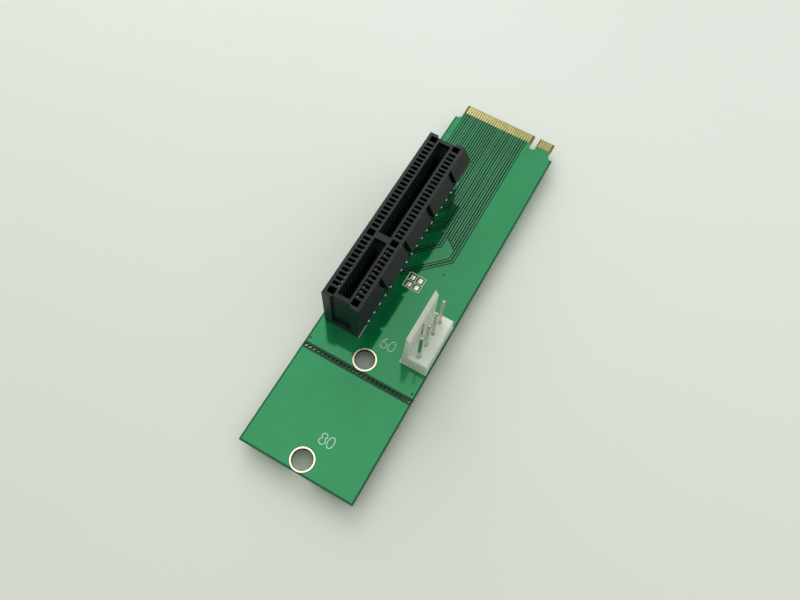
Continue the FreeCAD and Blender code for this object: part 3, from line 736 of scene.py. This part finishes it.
def widened(outline, width):
    """An outline of corners, with its inside on the left, moved outward by a width."""
    count = len(outline)
    moved = []
    for index, spot in enumerate(outline):
        before = (spot - outline[index - 1]).normalized()
        after = (outline[(index + 1) % count] - spot).normalized()
        moved.append(spot - mitre(before, after, width))
    return moved


def add_clearance(name, node, width):
    """The dark rim of bare laminate round each flat copper form of a node, on the board's upper face."""
    source = node_bmesh(node)
    builder = bmesh.new()
    upper = [face for face in source.faces if face.normal.z > UPPER_FACE]
    for index, face in enumerate(upper):
        outline = widened([vert.co.xy for vert in face.verts], width)
        slab(builder, outline, TOP, TOP + CLEARANCE_THICKNESS * (1 + CLEARANCE_STAGGER * (index % 2)))
    source.free()
    add_piece(name, builder, MASK_CLEARANCE)


def add_screw_lands():
    """Plated screw holes with eased rims, and the dark clearance round each ring."""
    gap = bmesh.new()
    for name in ("screw_land_short", "screw_land_long"):
        low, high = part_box(name)
        x, y = (low.x + high.x) / 2, (low.y + high.y) / 2
        ring = (high.x - low.x) / 2
        barrel = SCREW_BORE + SCREW_PLATING
        ease = (high.z - TOP) / 2
        rims = []
        for face, level, way in ((TOP, high.z, -1), (UNDERSIDE, low.z, 1)):
            rim = [(barrel, face), (ring, face), (ring, level + way * ease), (ring - ease, level)]
            rim += [(SCREW_BORE + SCREW_INLET, level), (SCREW_BORE, level + 2 * way * SCREW_INLET)]
            rims.append(rim)
        builder = bmesh.new()
        lathe(builder, x, y, rims[0] + rims[1][::-1], SCREW_SEGMENTS, closed=True)
        piece = add_piece(f"{name}_plated", builder, PALE_GOLD)
        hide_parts(name)
        level = TOP + CLEARANCE_THICKNESS
        outside = ring + RING_CLEARANCE
        profile = [(ring, TOP), (ring, level), (outside, level), (outside, TOP)]
        lathe(gap, x, y, profile, SCREW_SEGMENTS, closed=True)
    add_piece("screw_land_clearance", gap, MASK_CLEARANCE)


def crowned_pad(builder, outline, half_height):
    """One pad over a rectangle of corners, swollen in its middle and rounded down at its edges."""
    low_x, high_x = min(spot.x for spot in outline), max(spot.x for spot in outline)
    low_y, high_y = min(spot.y for spot in outline), max(spot.y for spot in outline)
    rows = []
    for row in range(PAD_STEPS + 1):
        across = 2 * row / PAD_STEPS - 1
        x = low_x + (high_x - low_x) * (across + 1) / 2
        spots = []
        for column in range(PAD_STEPS + 1):
            upward = 2 * column / PAD_STEPS - 1
            y = low_y + (high_y - low_y) * (upward + 1) / 2
            swell = (1 - across ** PAD_FLATNESS) * (1 - upward ** PAD_FLATNESS)
            level = TOP + half_height + (half_height + PAD_CROWN) * swell
            spots.append(builder.verts.new((x, y, level)))
        rows.append(spots)
    for ring, following in zip(rows, rows[1:]):
        for step in range(PAD_STEPS):
            builder.faces.new((ring[step], ring[step + 1], following[step + 1], following[step]))
    rim = rows[0] + [row[-1] for row in rows[1:-1]]
    rim += rows[-1][::-1] + [row[0] for row in rows[-2:0:-1]]
    base = [builder.verts.new((spot.co.x, spot.co.y, TOP)) for spot in rim]
    join_rings(builder, [rim, base])
    builder.faces.new(base)


def add_jumper_pads():
    """Tinned jumper pads with a crown."""
    source = node_bmesh("jumper_pads")
    half_height = (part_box("jumper_pads")[1].z - TOP) * 0.5
    builder = bmesh.new()
    for face in source.faces:
        if face.normal.z > UPPER_FACE:
            crowned_pad(builder, [vert.co for vert in face.verts], half_height)
    source.free()
    piece = add_piece("jumper_pads_tinned", builder, PAD_TIN)
    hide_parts("jumper_pads")


def add_vias():
    """Small plated holes under the mask, each a low ring with a dimple."""
    start_x, start = VIA_ROW_START
    step_x, step_along = VIA_ROW_STEP
    row = [(start_x + step_x * step, start + step_along * step) for step in range(VIA_ROW_COUNT)]
    rim = TOP + VIA_RISE
    profile = [(0, TOP), (VIA_RADIUS, TOP), (VIA_RADIUS * 0.8, rim), (VIA_HOLE * 1.3, rim)]
    profile += [(VIA_HOLE, TOP + 0.3 * VIA_RISE), (0, TOP + 0.2 * VIA_RISE)]
    builder = bmesh.new()
    for x, distance in list(VIA_PLACES) + row:
        lathe(builder, x * MM, along(distance), profile)
    add_piece("covered_vias", builder, MASK_VIA)


def add_tail_pads():
    """Tinned pads of the slot's outer tail rows, each a low dome that peeps out from under a long wall."""
    profile = [(0, TOP)]
    profile += [(TAIL_PAD_RADIUS * share, TOP + height * TAIL_PAD_RISE) for share, height in TAIL_PAD_DOME]
    builder = bmesh.new()
    for side in (-1, 1):
        for place in contact_places("outer"):
            lathe(builder, SLOT_X + side * TAIL_REACHES["outer"] * MM, along(place), profile)
    add_piece("slot_tail_pads", builder, SOLDER, smooth=True)


def add_contact_ends():
    """The plated, rounded ends of the spring strips, just below the mouth of each chamber."""
    builder = bmesh.new()
    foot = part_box("slot_contacts_right_outer")[1].z - CONTACT_END_OVERLAP
    section = [(-CONTACT_END_HALF, 0.0), (CONTACT_END_HALF, 0.0)]
    for step in range(CONTACT_END_STEPS + 1):
        angle = math.pi * step / CONTACT_END_STEPS
        level = CONTACT_END_SHOULDER + CONTACT_END_HALF * math.sin(angle)
        section.append((CONTACT_END_HALF * math.cos(angle), level))
    for side in (-1, 1):
        middle = SLOT_X + side * CONTACT_END_REACH * MM
        for place in contact_places("outer") + contact_places("inner"):
            rings = []
            for end in (-1, 1):
                y = along(place) + end * CONTACT_WIDTH / 2 * MM
                spots = [(middle + side * x * MM, y, foot + z * MM) for x, z in section]
                rings.append([builder.verts.new(spot) for spot in spots])
            join_capped(builder, rings)
    add_piece("slot_contact_ends", builder, CONTACT_END)


def add_joints(name, spots, radius, pin_radius):
    """Round solder joints under the board, each a hollow-sided cone that runs down its tail."""
    low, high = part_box(name)
    height = high.z - low.z
    profile = [(0, UNDERSIDE)]
    for step in range(JOINT_STEPS + 1):
        share = step / JOINT_STEPS
        reach = pin_radius + (radius - pin_radius) * (1 - share) ** JOINT_HOLLOW
        profile.append((reach, UNDERSIDE - height * share))
    profile.append((0, UNDERSIDE - height))
    builder = bmesh.new()
    for x, y in spots:
        lathe(builder, x, y, profile, JOINT_SEGMENTS)
    piece = add_piece(f"{name}_joints", builder, SOLDER, smooth=True)
    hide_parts(name)


def add_solder():
    """The joints of the slot's tails and of the header's pins."""
    tails = []
    for kind, reach in TAIL_REACHES.items():
        for side in (-1, 1):
            tails += [(SLOT_X + side * reach * MM, along(place)) for place in contact_places(kind)]
    add_joints("slot_solder", tails, TAIL_JOINT_RADIUS, TAIL_RADIUS)
    pins = []
    for number in HEADER_PINS:
        low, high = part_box(f"header_pin_{number}")
        pins.append(((low.x + high.x) / 2, (low.y + high.y) / 2))
    add_joints("header_solder", pins, PIN_JOINT_RADIUS, PIN_RADIUS)


def add_table():
    """The table top under the card's lowest point."""
    mesh = bpy.data.meshes.new("table")
    half, level = TABLE_HALF, CAD_BOX[0][2]
    corners = [(-half, -half, level), (half, -half, level), (half, half, level), (-half, half, level)]
    mesh.from_pydata(corners, [], [(0, 1, 2, 3)])
    mesh.materials.append(TABLE)
    table = bpy.data.objects.new("table", mesh)
    bpy.context.scene.collection.objects.link(table)


def add_camera():
    """The viewer, above the snap-off end and to its right."""
    camera = bpy.data.objects.new("camera", bpy.data.cameras.new("camera"))
    camera.data.lens = CAMERA_LENS
    camera.data.sensor_width = CAMERA_SENSOR
    camera.data.clip_start = CAMERA_NEAREST
    camera.location = CAMERA_PLACE
    view = (CAMERA_AIM - CAMERA_PLACE).to_track_quat("-Z", "Y")
    camera.rotation_mode = "QUATERNION"
    camera.rotation_quaternion = view @ Quaternion((0, 0, 1), CAMERA_ROLL)
    bpy.context.scene.collection.objects.link(camera)
    bpy.context.scene.camera = camera


def add_window():
    """The square soft light of a window on the far left, aimed at the card."""
    light = bpy.data.objects.new("far_window", bpy.data.lights.new("far_window", "AREA"))
    light.data.size = WINDOW_SIZE
    light.data.energy = WINDOW_POWER
    light.location = WINDOW_SIDE * WINDOW_DISTANCE
    light.rotation_mode = "QUATERNION"
    light.rotation_quaternion = (-light.location).to_track_quat("-Z", "Y")
    bpy.context.scene.collection.objects.link(light)


def add_room():
    """An even bright room, lightest overhead, dim near the table's level and on the camera's side."""
    world = bpy.data.worlds.new("room")
    world.use_nodes = True
    tree = world.node_tree
    background = tree.nodes["Background"]
    background.inputs["Color"].default_value = ROOM_TINT
    direction = tree.nodes.new("ShaderNodeTexCoord").outputs["Generated"]

    def toward(side, low, high):
        """From low, level with the side or behind it, to high in the side's own direction."""
        slope = tree.nodes.new("ShaderNodeVectorMath")
        slope.operation = "DOT_PRODUCT"
        slope.inputs[1].default_value = side
        tree.links.new(direction, slope.inputs[0])
        level = tree.nodes.new("ShaderNodeMapRange")
        level.inputs["To Min"].default_value = low
        level.inputs["To Max"].default_value = high
        tree.links.new(slope.outputs["Value"], level.inputs["Value"])
        return level.outputs["Result"]

    strength = tree.nodes.new("ShaderNodeMath")
    strength.operation = "MULTIPLY"
    tree.links.new(toward(ROOM_BRIGHT_SIDE, ROOM_DARK, ROOM_LIGHT), strength.inputs[0])
    tree.links.new(toward(ROOM_DIM_SIDE, 1.0, ROOM_DIM_SHARE), strength.inputs[1])
    tree.links.new(strength.outputs["Value"], background.inputs["Strength"])
    bpy.context.scene.world = world


dress_nodes()
soften("slot_housing", SLOT_ROUNDING)
soften("header_housing", HEADER_ROUNDING)
add_clearance("trace_clearance", "signal_traces", TRACE_CLEARANCE)
add_clearance("jumper_pad_clearance", "jumper_pads", PAD_CLEARANCE)
add_jumper_pads()
add_screw_lands()
add_contact_ends()
add_solder()
print_silk()
add_vias()
add_tail_pads()
add_table()
add_camera()
add_window()
add_room()
bpy.context.scene.view_settings.view_transform = "Standard"
